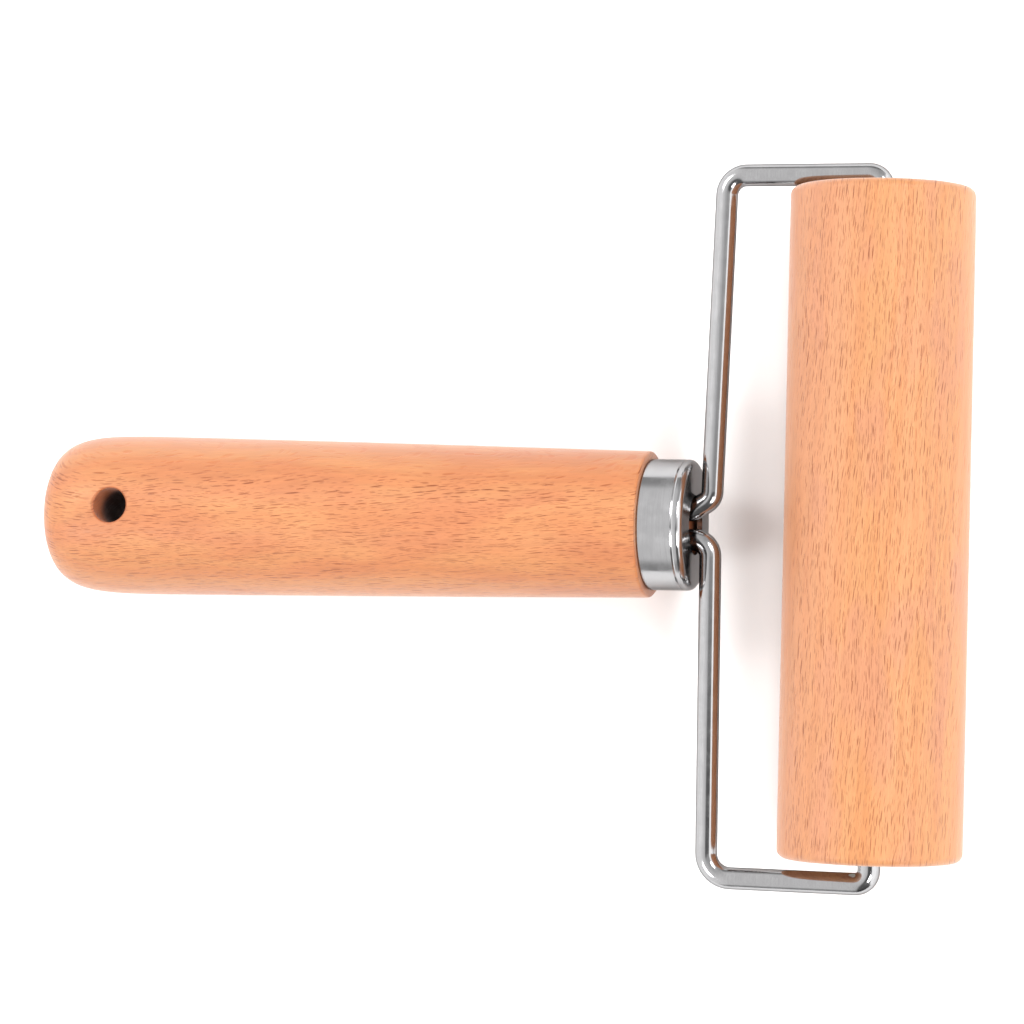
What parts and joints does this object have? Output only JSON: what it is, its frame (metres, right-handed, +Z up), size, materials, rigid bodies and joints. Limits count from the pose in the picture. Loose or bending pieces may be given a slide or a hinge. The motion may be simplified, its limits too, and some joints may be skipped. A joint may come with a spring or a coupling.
{
  "type": "hand roller",
  "caption": "Hand roller with a turned wooden handle, a metal ferrule and two bent wires that carry a free-spinning wooden roller.",
  "frame": {"origin": "on the surface the roller lies on, below the middle of the tool's length and width", "axes": "+X along the handle from its butt end towards the roller, +Y along the roller's axis, +Z up"},
  "size_m": [0.1734, 0.1308, 0.033],
  "materials": {
    "handle_wood": "satin lacquer over fine-grained beech",
    "roller_wood": "smooth sanded beech",
    "ferrule_steel": "polished",
    "wire_steel": "polished",
    "bushing_plastic": "natural nylon"
  },
  "bodies": {
    "frame": {"handle": "handle_wood", "ferrule": "ferrule_steel", "left_wire": "wire_steel", "right_wire": "wire_steel"},
    "roller": {"roller": "roller_wood", "left_bushing": "bushing_plastic", "right_bushing": "bushing_plastic"}
  },
  "joints": [
    {"name": "roller_spin", "type": "hinge", "parent": "frame", "child": "roller", "pos_m": [0.0702, 0, 0.0165], "axis": [0, 1, 0], "continuous": true}
  ]
}
